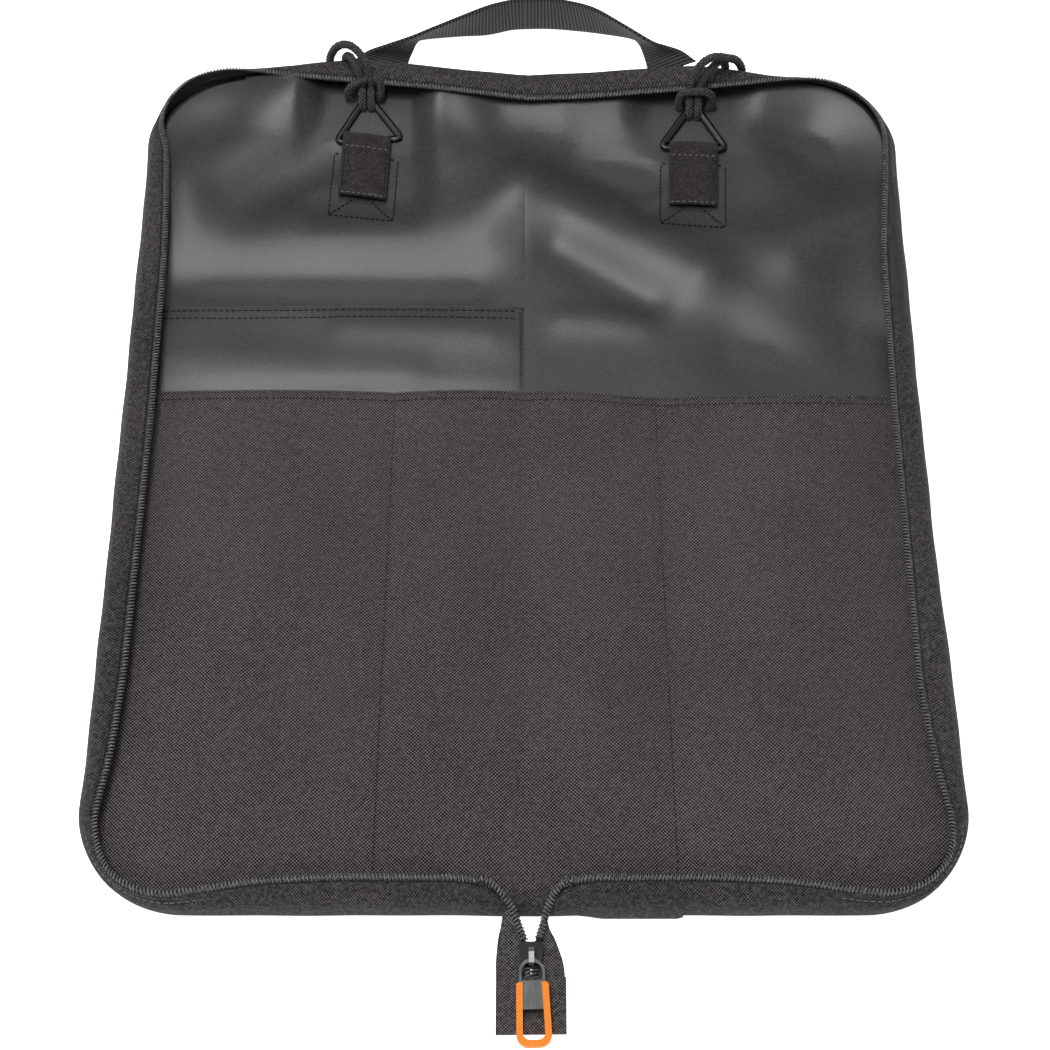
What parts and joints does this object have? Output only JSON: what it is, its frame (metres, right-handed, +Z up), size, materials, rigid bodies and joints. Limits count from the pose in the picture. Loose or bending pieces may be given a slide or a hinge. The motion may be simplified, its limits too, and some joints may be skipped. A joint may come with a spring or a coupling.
{
  "type": "drum stick bag",
  "caption": "Soft folding bag for drum sticks, lying open: two zipped halves with stick channels, document pocket, tabs with rings and hanging cord loops, webbing carry handle.",
  "frame": {"origin": "centre of the spine's underside, on the surface that the open bag lies on", "axes": "+X to the right half, +Y along the spine towards the carry handle, +Z up from the outer cloth to the open inside"},
  "size_m": [0.4, 0.5753, 0.037],
  "materials": {
    "shell_cloth": "coarse woven polyester outer cloth",
    "lining_cloth": "smooth coated satin lining",
    "pocket_cloth": "diagonal woven polyester",
    "gusset_cloth": "fine woven polyester",
    "foam": "closed cell foam pad",
    "zip_tape": "woven zip tape",
    "zip_coil": "glossy black nylon coil",
    "webbing": "ribbed webbing",
    "cord": "braided cord",
    "dark_metal": "gunmetal plate",
    "orange_rubber": "satin moulded rubber"
  },
  "bodies": {
    "left_half": {"left_back_panel": "shell_cloth", "left_foam_pad": "foam", "left_lining": "lining_cloth", "left_gusset": "gusset_cloth", "left_zip_tape": "zip_tape", "left_zip_coil": "zip_coil", "left_stick_pocket": "pocket_cloth", "left_tab": "webbing", "left_tab_patch": "webbing", "left_document_pocket": "lining_cloth"},
    "left_ring": {"left_triangle_ring": "dark_metal", "left_cord_hitch": "cord"},
    "left_loop": {"left_loop_cord": "cord"},
    "right_half": {"right_back_panel": "shell_cloth", "right_foam_pad": "foam", "right_lining": "lining_cloth", "right_gusset": "gusset_cloth", "right_zip_tape": "zip_tape", "right_zip_coil": "zip_coil", "right_stick_pocket": "pocket_cloth", "right_tab": "webbing", "right_tab_patch": "webbing"},
    "right_ring": {"right_triangle_ring": "dark_metal", "right_cord_hitch": "cord"},
    "right_loop": {"right_loop_cord": "cord"},
    "spine": {"spine_shell": "shell_cloth", "spine_foam_pad": "foam", "spine_lining": "lining_cloth", "spine_pocket_strip": "pocket_cloth", "spine_top_gusset": "gusset_cloth", "spine_bottom_gusset": "gusset_cloth", "spine_top_zip": "zip_coil", "carry_handle": "webbing", "left_zip_lead": "zip_coil", "right_zip_lead": "zip_coil", "left_tail_tape": "zip_tape", "right_tail_tape": "zip_tape", "zip_tail_chain": "zip_coil", "zip_end_tab": "gusset_cloth"},
    "slider": {"slider_body": "dark_metal", "slider_bail": "dark_metal"},
    "puller": {"puller_plate": "dark_metal", "puller_grip": "orange_rubber"}
  },
  "joints": [
    {"name": "left_fold", "type": "hinge", "parent": "spine", "child": "left_half", "pos_m": [-0.0215, 0, 0.004], "axis": [0, 1, 0], "range_deg": [0, 90], "deforming": ["spine_top_gusset", "spine_bottom_gusset", "spine_top_zip", "carry_handle", "left_zip_lead"]},
    {"name": "right_fold", "type": "hinge", "parent": "spine", "child": "right_half", "pos_m": [0.0215, 0, 0.004], "axis": [0, -1, 0], "range_deg": [0, 90], "deforming": ["spine_top_gusset", "spine_bottom_gusset", "spine_top_zip", "carry_handle", "right_zip_lead"]},
    {"name": "left_ring_swing", "type": "hinge", "parent": "left_half", "child": "left_ring", "pos_m": [-0.0845, 0.1965, 0.007], "axis": [-1, 0, 0], "range_deg": [-135, 0]},
    {"name": "left_loop_swing", "type": "hinge", "parent": "left_ring", "child": "left_loop", "pos_m": [-0.0845, 0.2255, 0.0152], "axis": [1, 0, 0], "range_deg": [0, 30], "deforming": ["left_loop_cord"]},
    {"name": "right_ring_swing", "type": "hinge", "parent": "right_half", "child": "right_ring", "pos_m": [0.09, 0.1911, 0.007], "axis": [-1, 0, 0], "range_deg": [-135, 0]},
    {"name": "right_loop_swing", "type": "hinge", "parent": "right_ring", "child": "right_loop", "pos_m": [0.09, 0.2201, 0.0152], "axis": [1, 0, 0], "range_deg": [0, 30], "deforming": ["right_loop_cord"]},
    {"name": "zip_slide", "type": "slide", "parent": "spine", "child": "slider", "axis": [0, 1, 0], "range_m": [0, 0.01], "deforming": ["zip_tail_chain", "left_zip_lead", "right_zip_lead"]},
    {"name": "puller_swing", "type": "hinge", "parent": "slider", "child": "puller", "pos_m": [0.0028, -0.2585, 0.0073], "axis": [1, 0, 0], "range_deg": [-150, 0]}
  ]
}
